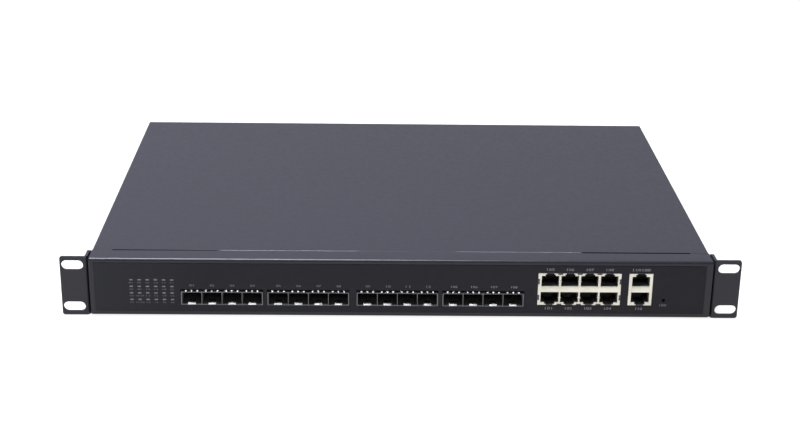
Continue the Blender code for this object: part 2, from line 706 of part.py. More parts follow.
def make_power_switch():
    flange_y = DEPTH + GAP
    frame = make_box("power_switch_frame", (ROCKER_X - 7.7, flange_y, ROCKER_Z - 10.7),
                     (ROCKER_X + 7.7, flange_y + 1.6, ROCKER_Z + 10.7), BLACK)
    body, well = bmesh.new(), bmesh.new()
    for bm, inset, front, back in ((body, 0, DEPTH - 14, flange_y + 1), (well, 1, DEPTH - 8, flange_y + 4)):
        half, rise = 6.4 - inset, 9.4 - inset
        add_box(bm, (ROCKER_X - half, front, ROCKER_Z - rise), (ROCKER_X + half, back, ROCKER_Z + rise))
    combine(frame, "UNION", make_cutter("switch_body", body))
    combine(frame, "DIFFERENCE", make_cutter("switch_well", well))
    lower = arc((0, 0), ROCKER_RADIUS, 144, 192, 4)
    upper = arc((0, 0), ROCKER_RADIUS, -12, 36, 4)
    outline = [(up, across) for across, up in upper + [(0, 3.0)] + lower + [(-3, -4), (3, -4)]]
    bm = bmesh.new()
    add_prism(bm, outline, "x", -5.0, 5.0)
    make_object("power_rocker", bm, BLACK, (ROCKER_X, ROCKER_AXIS_Y, ROCKER_Z), (ROCKER_TILT, 0, 0))


def make_fan(number, x):
    front, back, half = FAN_REAR_Y - FAN_DEPTH, FAN_REAR_Y, FAN_SIZE / 2
    frame = make_box(f"fan_frame_{number}", (x - half, front, FAN_Z - half),
                     (x + half, back, FAN_Z + half), BLACK)
    bore = bmesh.new()
    add_cylinder(bore, (x, front - 2, FAN_Z), (x, back + 2, FAN_Z), FAN_BORE, 32)
    spider = bmesh.new()
    add_cylinder(spider, (x, back - 2.2, FAN_Z), (x, back - 0.2, FAN_Z), 11.0, 20)
    spokes = bmesh.new()
    for quarter in range(4):
        angle = math.pi / 2 * (quarter + 0.5)
        turn = Matrix.Translation((x, back - 1.2, FAN_Z)) @ Matrix.Rotation(angle, 4, "Y")
        bmesh.ops.create_cube(spokes, size=1, matrix=turn @ Matrix.Translation((0, 0, 14.5))
                              @ Matrix.Diagonal((2.6, 1.8, 10, 1)))
    combine(frame, "DIFFERENCE", make_cutter(f"fan_{number}_bore", bore))
    combine(frame, "UNION", make_cutter(f"fan_{number}_spider", spider),
            make_cutter(f"fan_{number}_spokes", spokes))


def make_fan_rotor(number, x):
    """A hub and seven pitched blades, turning about the y axis through its origin."""
    hub = bmesh.new()
    add_cylinder(hub, (0, -8, 0), (0, 7.0, 0), 10.5, 24)
    middle_y = FAN_REAR_Y - FAN_DEPTH + 9.8
    rotor = make_object(f"fan_rotor_{number}", hub, BLACK, (x, middle_y, FAN_Z))
    blades = bmesh.new()
    for blade in range(7):
        turn = Matrix.Rotation(math.radians(360 / 7 * blade), 4, "Y")
        pitch = Matrix.Rotation(math.radians(38), 4, "Z")
        bmesh.ops.create_cube(blades, size=1, matrix=turn @ Matrix.Translation((0, 0, 14.0)) @ pitch
                              @ Matrix.Diagonal((1.2, 12.5, 8.4, 1)))
    tool = make_object(f"rotor_{number}_blades", blades, None, (x, middle_y, FAN_Z), group=cutters)
    tool.hide_render = True
    tool.display_type = "WIRE"
    combine(rotor, "UNION", tool)


def make_fan_lead(number, x):
    start_y, board_back = FAN_REAR_Y - FAN_DEPTH - GAP, MAIN_BOARD[1][1]
    route = [(x + 14, start_y, 7), (x + 14, start_y - 10, 5), (x + 12, start_y - 45, 3.2), (x + 9, 215, 3.2),
             (x + 8, 188, 4.2), (x + 8, board_back + 4, 9.4), (x + 8, board_back - 6, 9.6)]
    make_wire(f"fan_lead_{number}", route, 1.0, WIRE_BLACK)


def make_spare_bay():
    half_width, half_height = SPARE_PLATE[0] / 2, SPARE_PLATE[1] / 2
    make_box("spare_bay_plate", (SPARE_X - half_width, DEPTH + GAP, SPARE_Z - half_height),
             (SPARE_X + half_width, DEPTH + GAP + SHEET, SPARE_Z + half_height), PAINT)


def make_earth_point():
    profile = [(0, 5.4), (1.5, 5.4), (1.9, 5.0), (1.9, -8.0), (0, -8.0)]
    make_turned("earth_stud", profile, BRASS, (EARTH_X, DEPTH, EARTH_Z), (-math.pi / 2, 0, 0), steps=12)
    bm = bmesh.new()
    add_cylinder(bm, (EARTH_X, DEPTH + GAP, EARTH_Z), (EARTH_X, DEPTH + 3.3, EARTH_Z), 4.0, 6)
    nut = make_object("earth_nut", bm, BRASS)
    bore = bmesh.new()
    add_cylinder(bore, (EARTH_X, DEPTH - 3, EARTH_Z), (EARTH_X, DEPTH + 6, EARTH_Z), 2.2, 12)
    combine(nut, "DIFFERENCE", make_cutter("earth_nut_bore", bore))


def make_wires():
    tabs_y = DEPTH - 22 - GAP
    live, neutral = INLET_X - 7, INLET_X + 7
    switch_y = DEPTH - 14 - GAP
    make_wire("live_wire_in", [(live, tabs_y - 1, 19), (live + 1, 287, 26), (INLET_X + 4, 286, 34),
                               (ROCKER_X - 13, 290, 34), (ROCKER_X, 294, 30), (ROCKER_X, switch_y - 1.4, 26)],
              1.3, WIRE_BROWN)
    make_wire("live_wire_out", [(ROCKER_X, switch_y - 1.4, 16), (ROCKER_X, 293, 15), (ROCKER_X - 3, 284, 13),
                                (ROCKER_X - 6, 270, 9.4)], 1.3, WIRE_BROWN)
    make_wire("neutral_wire", [(neutral, tabs_y - 1, 19), (neutral, 287, 19), (neutral, 280, 16),
                               (neutral, 270, 9.4)], 1.3, WIRE_BLUE)
    make_wire("earth_wire", [(INLET_X, tabs_y - 1, 23), (INLET_X, 287, 21), (INLET_X + 2, 283, 12),
                             (INLET_X + 8, 282, 4), (-150, 284, 4), (EARTH_X - 4, 296, 6),
                             (EARTH_X, 303, EARTH_Z - 1), (EARTH_X, DEPTH - 9.7, EARTH_Z)], 1.3, WIRE_GREEN)
    make_wire("dc_harness", [(-150, 196, 10.4), (-150, 186, 10.4), (-146, 176, 10.8), (-142, 164, 10.6),
                             (-142, 152, 10.6)], 2.4, WIRE_BLACK)


screw_holes = ear_screw_holes()
rear_holes = cover_screw_holes()
make_chassis_base(screw_holes, rear_holes)
make_top_cover(screw_holes, rear_holes)
make_front_panel(screw_holes)
make_front_overlay()
make_feet()
make_ear("ear_left", -1, screw_holes)
make_ear("ear_right", 1, screw_holes)
make_ear_screws()
make_cover_screws()
for number, start in enumerate(CAGE_STARTS, 1):
    make_cage(number, start)
notch_shield_edges(make_jack_block("rj45_block_8", WIDE_BLOCK_X, WIDE_BLOCK_PORTS))
make_jack_block("rj45_block_2", NARROW_BLOCK_X, NARROW_BLOCK_PORTS)
make_light_pipe()
make_reset_switch()
make_main_board()
make_power_supply()
make_inlet()
make_power_switch()
for number, x in enumerate(FAN_XS, 1):
    make_fan(number, x)
    make_fan_rotor(number, x)
    make_fan_lead(number, x)
make_spare_bay()
make_earth_point()
make_wires()
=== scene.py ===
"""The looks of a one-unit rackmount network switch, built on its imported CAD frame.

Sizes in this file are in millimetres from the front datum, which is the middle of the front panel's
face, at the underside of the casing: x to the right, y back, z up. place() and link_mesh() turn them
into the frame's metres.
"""
import math

import bmesh
import bpy
from mathutils import Matrix, Vector


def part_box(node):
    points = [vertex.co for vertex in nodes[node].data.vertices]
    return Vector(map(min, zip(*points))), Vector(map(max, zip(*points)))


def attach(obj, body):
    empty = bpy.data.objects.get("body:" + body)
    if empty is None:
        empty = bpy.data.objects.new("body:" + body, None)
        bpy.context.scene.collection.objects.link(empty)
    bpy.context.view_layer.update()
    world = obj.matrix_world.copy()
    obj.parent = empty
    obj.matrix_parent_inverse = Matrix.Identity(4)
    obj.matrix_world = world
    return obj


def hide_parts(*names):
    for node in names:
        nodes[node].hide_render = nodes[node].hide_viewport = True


MM = 0.001

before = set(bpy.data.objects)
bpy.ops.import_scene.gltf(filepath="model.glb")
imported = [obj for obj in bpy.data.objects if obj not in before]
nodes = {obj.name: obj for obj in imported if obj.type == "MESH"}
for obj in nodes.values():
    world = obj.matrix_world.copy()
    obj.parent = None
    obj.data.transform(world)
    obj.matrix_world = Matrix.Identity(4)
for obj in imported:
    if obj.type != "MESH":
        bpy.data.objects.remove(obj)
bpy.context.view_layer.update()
panel_low, panel_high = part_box("front_panel")
DATUM = Vector((0, panel_low.y, panel_low.z))
TO_FRAME = Matrix.Translation(DATUM) @ Matrix.Scale(MM, 4)


def place(x, y, z):
    """A point given in millimetres from the front datum, in the frame's metres."""
    return DATUM + Vector((x, y, z)) * MM


def measured(node):
    """A CAD node's box in millimetres from the front datum."""
    low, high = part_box(node)
    return (low - DATUM) / MM, (high - DATUM) / MM


# ---------------------------------------------------------------- camera, lights and floor

CAMERA_PLACE = (-25.2, -986.5, 457.1)
CAMERA_DOWN = math.radians(21.28)
CAMERA_YAW = math.radians(1.341)
CAMERA_ROLL = math.radians(0.889)
LENS = 68.28
SENSOR = 36.0
WORLD_FRONT, WORLD_BACK = 0.07, 0.32
# The patch of the floor whose glow is turned off as painted shadow under the casing, from its front left to
# its back right corner, and the glow outside it
SHADOW_PATCH_LOW, SHADOW_PATCH_HIGH = (-221, 3.45, 0), (221, 315, 0)
FLOOR_GLOW = 0.9


def make_camera():
    forward = Vector((math.sin(CAMERA_YAW) * math.cos(CAMERA_DOWN),
                      math.cos(CAMERA_YAW) * math.cos(CAMERA_DOWN), -math.sin(CAMERA_DOWN)))
    level_right = Vector((math.cos(CAMERA_YAW), -math.sin(CAMERA_YAW), 0))
    level_up = level_right.cross(forward)
    right = level_right * math.cos(CAMERA_ROLL) + level_up * math.sin(CAMERA_ROLL)
    up = level_up * math.cos(CAMERA_ROLL) - level_right * math.sin(CAMERA_ROLL)
    turn = Matrix((right, up, -forward)).transposed().to_4x4()
    data = bpy.data.cameras.new("camera")
    data.lens, data.sensor_width = LENS, SENSOR
    data.clip_start, data.clip_end = 0.05, 50
    camera = bpy.data.objects.new("camera", data)
    bpy.context.scene.collection.objects.link(camera)
    camera.matrix_world = Matrix.Translation(place(*CAMERA_PLACE)) @ turn
    bpy.context.scene.camera = camera


def add_area_light(name, at, target, width, depth, watts, colour=(1, 1, 1)):
    data = bpy.data.lights.new(name, "AREA")
    data.shape = "RECTANGLE"
    data.size, data.size_y = width, depth
    data.energy = watts
    data.color = colour
    light = bpy.data.objects.new(name, data)
    bpy.context.scene.collection.objects.link(light)
    light.location = Vector(at)
    light.rotation_euler = (Vector(target) - Vector(at)).to_track_quat("-Z", "Y").to_euler()


def make_lights():
    """A soft overhead key, a faint blue sheet behind and a weak fill in front."""
    add_area_light("key_overhead", (-0.4, -0.05, 1.4), (-0.3, -0.05, 0), 0.9, 0.9, 62, (0.92, 0.93, 1.0))
    add_area_light("back_sheet", (-0.25, 2.0, 0.95), (0, 0.1, 0.04), 3.0, 1.0, 3.5, (0.78, 0.84, 1.0))
    add_area_light("front_fill", (0.5, -1.8, 1.2), (0, 0, 0.02), 1.4, 0.8, 1)


def make_world():
    """Soft even light, paler behind the object than in front of it."""
    world = bpy.data.worlds.new("studio")
    world.use_nodes = True
    tree = world.node_tree
    place_node = tree.nodes.new("ShaderNodeTexCoord")
    split = tree.nodes.new("ShaderNodeSeparateXYZ")
    ramp = tree.nodes.new("ShaderNodeMapRange")
    ramp.inputs["From Min"].default_value = -0.6
    ramp.inputs["From Max"].default_value = 0.8
    ramp.inputs["To Min"].default_value = WORLD_FRONT
    ramp.inputs["To Max"].default_value = WORLD_BACK
    background = tree.nodes["Background"]
    background.inputs["Color"].default_value = (0.97, 0.97, 1.0, 1)
    tree.links.new(place_node.outputs["Generated"], split.inputs["Vector"])
    tree.links.new(split.outputs["Y"], ramp.inputs["Value"])
    tree.links.new(ramp.outputs["Result"], background.inputs["Strength"])
    bpy.context.scene.world = world
    bpy.context.scene.view_settings.view_transform = "Standard"


def make_floor():
    """A pale glowing floor, with painted shadow where the casing stands over it: its glow is turned off
    there.
    """
    bm = bmesh.new()
    bmesh.ops.create_grid(bm, x_segments=1, y_segments=1, size=6.0)
    mesh = bpy.data.meshes.new("floor")
    bm.to_mesh(mesh)
    bm.free()
    floor = bpy.data.objects.new("floor", mesh)
    bpy.context.scene.collection.objects.link(floor)
    white = Material("floor_white", (0.2, 0.2, 0.2), 0.9, Specular_IOR_Level=0.0, Emission_Color=(1, 1, 1, 1))
    split = white.add("ShaderNodeSeparateXYZ")
    white.link(white.position, split.inputs["Vector"])
    # Painted shadow: the glow falls to nothing inside the patch under the casing.
    low, high = place(*SHADOW_PATCH_LOW), place(*SHADOW_PATCH_HIGH)
    edges = (("X", low.x, FLOOR_GLOW, 0), ("X", high.x, 0, FLOOR_GLOW),
             ("Y", low.y, FLOOR_GLOW, 0), ("Y", high.y, 0, FLOOR_GLOW))
    glow = [white.remap(split.outputs[axis], before, after, at - 0.0004, at + 0.0004)
            for axis, at, before, after in edges]
    strongest = glow[0]
    for value in glow[1:]:
        brighter = white.add("ShaderNodeMath", operation="MAXIMUM")
        white.link(strongest, brighter.inputs[0])
        white.link(value, brighter.inputs[1])
        strongest = brighter.outputs["Value"]
    white.link(strongest, white.shader.inputs["Emission Strength"])
    mesh.materials.append(white.material)


# ---------------------------------------------------------------- materials

class Material:
    """A Principled material with the few kinds of node chain that this object needs."""

    def __init__(self, name, colour, roughness, metallic=0.0, **inputs):
        self.material = bpy.data.materials.new(name)
        self.material.use_nodes = True
        self.tree = self.material.node_tree
        self.shader = self.tree.nodes["Principled BSDF"]
        self.colour = (*colour, 1)
        self.shader.inputs["Base Color"].default_value = self.colour
        self.shader.inputs["Roughness"].default_value = roughness
        self.shader.inputs["Metallic"].default_value = metallic
        for label, value in inputs.items():
            self.shader.inputs[label.replace("_", " ")].default_value = value
        self.position = self.add("ShaderNodeTexCoord").outputs["Object"]
        self.bumps = None

    def add(self, kind, **settings):
        node = self.tree.nodes.new(kind)
        for key, value in settings.items():
            setattr(node, key, value)
        return node

    def link(self, output, target):
        self.tree.links.new(output, target)

    def noise(self, scale, detail=2.0, stretch=(1, 1, 1)):
        """Noise over the piece; scale is in cycles per metre, and stretch draws it out into streaks."""
        mapping = self.add("ShaderNodeMapping")
        mapping.inputs["Scale"].default_value = stretch
        self.link(self.position, mapping.inputs["Vector"])
        texture = self.add("ShaderNodeTexNoise")
        texture.inputs["Scale"].default_value = scale
        texture.inputs["Detail"].default_value = detail
        self.link(mapping.outputs["Vector"], texture.inputs["Vector"])
        return texture.outputs["Fac"]

    def remap(self, value, low, high, start=0.3, end=0.7):
        node = self.add("ShaderNodeMapRange")
        node.inputs["From Min"].default_value = start
        node.inputs["From Max"].default_value = end
        node.inputs["To Min"].default_value = low
        node.inputs["To Max"].default_value = high
        self.link(value, node.inputs["Value"])
        return node.outputs["Result"]

    def rough(self, value, low, high):
        self.link(self.remap(value, low, high), self.shader.inputs["Roughness"])
        return self

    def bump(self, value, depth, strength=1.0):
        """Raise the surface by a texture, depth in millimetres; bumps add up."""
        node = self.add("ShaderNodeBump")
        node.inputs["Strength"].default_value = strength
        node.inputs["Distance"].default_value = depth * MM
        self.link(value, node.inputs["Height"])
        if self.bumps:
            self.link(self.bumps.outputs["Normal"], node.inputs["Normal"])
        self.bumps = node
        self.link(node.outputs["Normal"], self.shader.inputs["Normal"])
        return self

    def tint(self, value, other, share=1.0, start=0.35, end=0.65):
        """Blend the base colour towards another where a texture is high."""
        mix = self.add("ShaderNodeMix", data_type="RGBA")
        self.link(self.remap(value, 0, share, start, end), mix.inputs["Factor"])
        colour = self.shader.inputs["Base Color"]
        if colour.is_linked:
            self.link(colour.links[0].from_socket, mix.inputs["A"])
        else:
            mix.inputs["A"].default_value = self.colour
        mix.inputs["B"].default_value = (*other, 1)
        self.link(mix.outputs["Result"], colour)
        return self


def powder_coat(name, colour, glint):
    """Fine textured powder paint: a close orange-peel grain over faint cloudiness."""
    paint = Material(name, colour, 0.34, Specular_IOR_Level=0.33)
    lighter = [min(1, c * glint) for c in colour]
    paint.tint(paint.noise(4, 2), lighter, 0.3)
    paint.tint(paint.noise(1700, 2), lighter, 0.6)
    paint.rough(paint.noise(300, 2), 0.31, 0.37)
    paint.bump(paint.noise(1100, 2), 0.03, 0.5)
    paint.bump(paint.noise(2600, 1), 0.015, 0.5)
    return paint.material


def make_film_ink():
    """Dark matt film, faintly paler towards its left end, which is painted light."""
    film = Material("film_ink", (0.0055, 0.0052, 0.0105), 0.42, Specular_IOR_Level=0.215)
    film.tint(film.noise(1500, 2), (0.0095, 0.0092, 0.014), 0.5)
    film.tint(film.noise(7, 2), (0.0075, 0.0072, 0.0115), 0.5)
    # Painted light: the film's colour is made paler towards its left end.
    split = film.add("ShaderNodeSeparateXYZ")
    film.link(film.position, split.inputs["Vector"])
    film.tint(split.outputs["X"], (0.019, 0.0195, 0.025), 0.8, -0.14, -0.23)
    film.rough(film.noise(420, 2), 0.36, 0.48)
    film.bump(film.noise(1900, 2), 0.015, 0.4)
    return film.material


def plated(name, colour, roughness, streak=(1, 1, 9), depth=0.004, metallic=1.0):
    """Plated or bare metal with a rolling grain."""
    metal = Material(name, colour, roughness, metallic)
    grain = metal.noise(700, 3, streak)
    metal.rough(grain, roughness * 0.8, roughness * 1.3)
    metal.tint(metal.noise(90, 3), [c * 0.82 for c in colour], 0.6)
    metal.bump(grain, depth, 0.5)
    return metal.material


def moulded(name, colour, roughness, grain=1500, depth=0.02):
    """Moulded plastic with a fine spark-eroded grain."""
    plastic = Material(name, colour, roughness, Specular_IOR_Level=0.45)
    plastic.tint(plastic.noise(60, 3), [min(1, c * 1.35 + 0.004) for c in colour], 0.6)
    plastic.rough(plastic.noise(300, 2), roughness * 0.85, min(1, roughness * 1.15))
    plastic.bump(plastic.noise(grain, 2), depth, 0.5)
    return plastic.material


def make_board_mask():
    """Green solder mask over a net of fine tracks and copper pours."""
    board = Material("solder_mask", (0.012, 0.085, 0.035), 0.32, Specular_IOR_Level=0.5)
    tracks = board.add("ShaderNodeTexBrick")
    tracks.inputs["Scale"].default_value = 95
    tracks.inputs["Mortar Size"].default_value = 0.03
    board.link(board.position, tracks.inputs["Vector"])
    board.tint(tracks.outputs["Fac"], (0.03, 0.18, 0.07), 0.8)
    board.tint(board.noise(45, 2), (0.02, 0.13, 0.05), 0.7, 0.48, 0.52)
    board.rough(board.noise(220, 2), 0.26, 0.38)
    board.bump(tracks.outputs["Fac"], 0.03, 0.6)
    return board.material


def make_deep_shade():
    """Painted shade: matt black for the depth of the seam, with no sheen at a glancing angle."""
    shade = Material("deep_shade", (0.003, 0.003, 0.003), 0.95, Specular_IOR_Level=0.0)
    shade.tint(shade.noise(400, 2), (0.0045, 0.0045, 0.005), 0.5)
    return shade.material


def make_light_guide():
    guide = Material("window_print", (0.16, 0.16, 0.17), 0.35, Specular_IOR_Level=0.4)
    guide.tint(guide.noise(900, 2), (0.24, 0.24, 0.25), 0.5)
    guide.rough(guide.noise(500, 1), 0.3, 0.42)
    return guide.material


PAINT = powder_coat("casing_powder_coat", (0.0145, 0.0143, 0.0205), 1.3)
FILM_INK = make_film_ink()
# Painted highlight: a pale grey for the seam's cut edge where it catches the light.
SEAM_HIGHLIGHT = moulded("seam_edge_painted_highlight", (0.34, 0.34, 0.37), 0.5, 1500, 0.005)
NICKEL = plated("warm_nickel", (0.69, 0.665, 0.575), 0.4, (1, 9, 1))
CAGE_METAL = plated("cage_nickel", (0.16, 0.16, 0.165), 0.4, (9, 1, 1))
# Painted highlight: the plated spring leaves get a nearly white, barely metallic colour that stands for their
# glints.
GLINT_WHITE = plated("spring_leaf_painted_glint", (0.98, 0.98, 0.98), 0.6, (1, 4, 1), 0.001, 0.1)
ZINC = plated("bright_zinc", (0.72, 0.73, 0.76), 0.3, (1, 1, 1))
BRASS = plated("plain_brass", (0.8, 0.6, 0.29), 0.3, (1, 6, 1))
GOLD = plated("contact_gold", (0.9, 0.68, 0.3), 0.25, (1, 4, 1))
# Painted shade: gold darkened for the springs deep inside the jacks.
SHADED_GOLD = plated("contact_gold_painted_shade", (0.2, 0.14, 0.05), 0.45, (1, 4, 1))
ALUMINIUM = plated("satin_aluminium", (0.75, 0.76, 0.78), 0.38, (1, 12, 1))
BLACK = moulded("black_plastic", (0.014, 0.014, 0.015), 0.48)
# Painted shade for the line round the film's edge.
RECESS_SHADE = moulded("film_edge_painted_shade", (0.006, 0.006, 0.007), 0.8)
# Painted shade inside the optics cages' tubes, whose real walls are plated; the same grey is also the jack
# housings' dark plastic.
INSIDE = moulded("shaded_interior", (0.07, 0.07, 0.075), 0.7)
RUBBER = moulded("foot_rubber", (0.016, 0.016, 0.016), 0.82, 700, 0.05)
SLEEVE = moulded("capacitor_sleeve", (0.02, 0.035, 0.12), 0.3, 800, 0.01)
TAPE = moulded("transformer_tape", (0.62, 0.42, 0.06), 0.4, 500, 0.03)
BROWN = moulded("brown_pvc", (0.12, 0.05, 0.025), 0.4, 900, 0.01)
BLUE = moulded("blue_pvc", (0.03, 0.09, 0.4), 0.4, 900, 0.01)
GREEN = moulded("green_pvc", (0.08, 0.3, 0.04), 0.4, 900, 0.01)
WIRE_BLACK = moulded("black_pvc", (0.015, 0.015, 0.015), 0.4, 900, 0.01)
BOARD = make_board_mask()
GUIDE = make_light_guide()
DEEP_SHADE = make_deep_shade()
INK = moulded("label_ink", (0.17, 0.17, 0.18), 0.5, 1500, 0.005)
DIM_INK = moulded("small_label_ink", (0.12, 0.12, 0.13), 0.5, 1500, 0.005)
WHITE_INK = moulded("switch_mark_ink", (0.75, 0.75, 0.75), 0.5, 1500, 0.005)


# ---------------------------------------------------------------- shapes

def add_box(bm, low, high):
    size = Vector(high) - Vector(low)
    middle = (Vector(high) + Vector(low)) / 2
    bmesh.ops.create_cube(bm, size=1, matrix=Matrix.Translation(middle) @ Matrix.Diagonal((*size, 1)))


def add_prism(bm, corners, low, high):
    """An upright prism from (x, y) corners in order, between two heights."""
    bottom, top = [[bm.verts.new((x, y, z)) for x, y in corners] for z in (low, high)]
    bm.faces.new(bottom[::-1])
    bm.faces.new(top)
    for index in range(len(corners)):
        bm.faces.new((bottom[index - 1], bottom[index], top[index], top[index - 1]))


def add_ribbon(bm, path, left, right):
    """An open strip through (y, z) points, from x = left to x = right."""
    rows = [(bm.verts.new((left, y, z)), bm.verts.new((right, y, z))) for y, z in path]
    for (a, b), (c, d) in zip(rows, rows[1:]):
        bm.faces.new((a, b, d, c))


def link_mesh(name, bm, material, body, matrix=TO_FRAME):
    bm.transform(matrix)
    mesh = bpy.data.meshes.new(name)
    bm.to_mesh(mesh)
    bm.free()
    return link_object(name, mesh, material, body)


def link_object(name, mesh, material, body):
    mesh.materials.clear()
    mesh.materials.append(material)
    piece = bpy.data.objects.new(name, mesh)
    bpy.context.scene.collection.objects.link(piece)
    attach(piece, body)
    return piece


def soften(piece, width, segments=2, angle=35):
    """Round a piece's sharp edges by a width in millimetres."""
    bevel = piece.modifiers.new("softened_edges", "BEVEL")
    bevel.width = width * MM
    bevel.segments = segments
    bevel.limit_method = "ANGLE"
    bevel.angle_limit = math.radians(angle)
    bevel.harden_normals = True
    return piece


def make_smoothing():
    """A node group that welds a mesh and shades it smooth, apart from its sharp edges."""
    group = bpy.data.node_groups.new("smooth_by_angle", "GeometryNodeTree")
    for way in ("INPUT", "OUTPUT"):
        group.interface.new_socket("Geometry", in_out=way, socket_type="NodeSocketGeometry")
    start, end = group.nodes.new("NodeGroupInput"), group.nodes.new("NodeGroupOutput")
    forget = group.nodes.new("GeometryNodeRemoveAttribute")
    forget.inputs["Name"].default_value = "custom_normal"
    weld = group.nodes.new("GeometryNodeMergeByDistance")
    weld.inputs["Distance"].default_value = 0.000005
    smooth = group.nodes.new("GeometryNodeSetShadeSmooth")
    smooth.domain = "FACE"
    sharpen = group.nodes.new("GeometryNodeSetShadeSmooth")
    sharpen.domain = "EDGE"
    sharpen.inputs["Shade Smooth"].default_value = False
    angle = group.nodes.new("GeometryNodeInputMeshEdgeAngle")
    compare = group.nodes.new("FunctionNodeCompare")
    compare.operation = "GREATER_THAN"
    compare.inputs["B"].default_value = math.radians(36)
    group.links.new(angle.outputs["Unsigned Angle"], compare.inputs["A"])
    group.links.new(compare.outputs["Result"], sharpen.inputs["Selection"])
    chain = [start, forget, weld, smooth, sharpen, end]
    for before, after in zip(chain, chain[1:]):
        group.links.new(before.outputs["Geometry"], after.inputs["Geometry"])
    return group


def shade_round(mesh, angle=38):
    mesh.shade_smooth()
    mesh.set_sharp_from_angle(angle=math.radians(angle))


def outline_mesh(name, outlines, thickness, rim=0.0):
    """A flat plate in x and z from closed outlines, the first outside and the rest holes.

    The plate's thickness runs back in y from its front at y = 0, and rim softens its edges.
    """
    curve = bpy.data.curves.new(name, "CURVE")
    curve.dimensions = "2D"
    curve.fill_mode = "BOTH"
    curve.extrude = thickness / 2 - rim
    curve.bevel_depth = rim
    curve.bevel_resolution = 1
    curve.offset = -rim
    for outline in outlines:
        spline = curve.splines.new("POLY")
        spline.points.add(len(outline) - 1)
        for point, (x, z) in zip(spline.points, outline):
            point.co = (x, z, 0, 1)
        spline.use_cyclic_u = True
    holder = bpy.data.objects.new(name, curve)
    bpy.context.scene.collection.objects.link(holder)
    bpy.context.view_layer.update()
    evaluated = holder.evaluated_get(bpy.context.evaluated_depsgraph_get())
    bm = bmesh.new()
    bm.from_mesh(evaluated.to_mesh())
    bpy.data.objects.remove(holder)
    bpy.data.curves.remove(curve)
    bmesh.ops.remove_doubles(bm, verts=bm.verts, dist=0.0005)
    bm.transform(Matrix(((1, 0, 0, 0), (0, 0, -1, thickness / 2), (0, 1, 0, 0), (0, 0, 0, 1))))
    bmesh.ops.recalc_face_normals(bm, faces=bm.faces)
    return bm


def arc(x, z, radius, start, end, steps):
    angles = [math.radians(start + (end - start) * step / steps) for step in range(steps + 1)]
    return [(x + radius * math.cos(a), z + radius * math.sin(a)) for a in angles]


def round_corners(points, radius, steps=3):
    """Round each corner of a closed outline by a small radius."""
    rounded = []
    for index, here in enumerate(points):
        before, after = Vector(points[index - 1]), Vector(points[(index + 1) % len(points)])
        corner = Vector(here)
        reach = min(radius, (before - corner).length / 2.2, (after - corner).length / 2.2)
        start = corner + (before - corner).normalized() * reach
        end = corner + (after - corner).normalized() * reach
        for step in range(steps + 1):
            t = step / steps
            rounded.append(tuple(start * (1 - t) ** 2 + corner * 2 * t * (1 - t) + end * t ** 2))
    return rounded


def rectangle(left, right, low, high):
    return [(left, low), (right, low), (right, high), (left, high)]


# ---------------------------------------------------------------- optics cages

CAGE_PORTS = 4
CAGE_PITCH = 14.25
CAGE_RIM = 0.45
CAGE_WALL = 0.38
CAGE_CORNER = 0.5
CAGE_FRONT = 0.4
CAGE_BACK = 0.6
# Side views of the two sprung leaves: y from the panel's face, z up from the cage's top or from its underside
FINGER_PROFILE = ((1.3, 0.05), (0.9, 0.55), (0.3, 0.85), (-0.4, 0.95), (-0.9, 0.65), (-1.1, 0.1))
LATCH_PROFILE = ((-1.4, 0.4), (-1.6, 0.6), (-1.4, 0.95), (-1.0, 1.25), (-0.5, 1.3), (2.5, 0.9))
FINGER_STEP = 4.05
FINGER_HALF, FINGER_LEAF = 0.65, 0.15
LATCH_HALF, LATCH_LEAF = 2.7, 0.18
STRIP_HALF, STRIP_Y, STRIP_Z = 2.0, (4.0, 6.5), (0.5, 0.75)
CONNECTOR_HALF, CONNECTOR_Y, CHEEK = 5.2, (36, 45.5), 1.0


def cage_ports(node):
    """The x of each port's middle, and the cage's own box."""
    low, high = measured(node)
    middle = (low.x + high.x) / 2
    return [middle + (port - (CAGE_PORTS - 1) / 2) * CAGE_PITCH for port in range(CAGE_PORTS)], low, high


def make_cage(number):
    """One ganged cage: thin plated sheet round four tubes, with painted shade inside them."""
    node = f"sfp_cage_{number}"
    ports, low, high = cage_ports(node)
    outside = round_corners(rectangle(low.x, high.x, low.z, high.z), CAGE_CORNER)
    half = (CAGE_PITCH - CAGE_WALL) / 2
    bottom, top = low.z + CAGE_RIM, high.z - CAGE_RIM
    tubes = [round_corners(rectangle(x - half, x + half, bottom, top), CAGE_CORNER) for x in ports]
    bm = outline_mesh(node, [outside, *tubes], CAGE_FRONT, 0.06)
    bm.transform(Matrix.Translation((0, low.y, 0)))
    shell = link_mesh(f"{node}_rim", bm, CAGE_METAL, "casing")
    shade_round(shell.data)
    deep = outline_mesh(node, [outside, *tubes], high.y - low.y - CAGE_BACK)
    deep.transform(Matrix.Translation((0, low.y + CAGE_FRONT + 0.1, 0)))
    add_box(deep, (low.x + 0.2, high.y - CAGE_BACK, low.z + 0.2), (high.x - 0.2, high.y, high.z - 0.2))
    # The tubes' inside is painted shade.
    body = link_mesh(f"{node}_tubes", deep, INSIDE, "casing")
    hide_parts(node)


def make_cage_fingers(number):
    """The spring fingers that close the gap between a cage's top and the panel, white as painted glints."""
    ports, _, high = cage_ports(f"sfp_cage_{number}")
    bm = bmesh.new()
    path = [(y, high.z + z) for y, z in FINGER_PROFILE]
    for x in ports:
        for step in (-FINGER_STEP, 0, FINGER_STEP):
            add_ribbon(bm, path, x + step - FINGER_HALF, x + step + FINGER_HALF)
    fingers = link_mesh(f"sfp_cage_{number}_fingers", bm, GLINT_WHITE, "casing")
    solid = fingers.modifiers.new("leaf", "SOLIDIFY")
    solid.thickness = FINGER_LEAF * MM
    round_off = fingers.modifiers.new("curl", "SUBSURF")
    round_off.levels = round_off.render_levels = 1
    shade_round(fingers.data, 80)


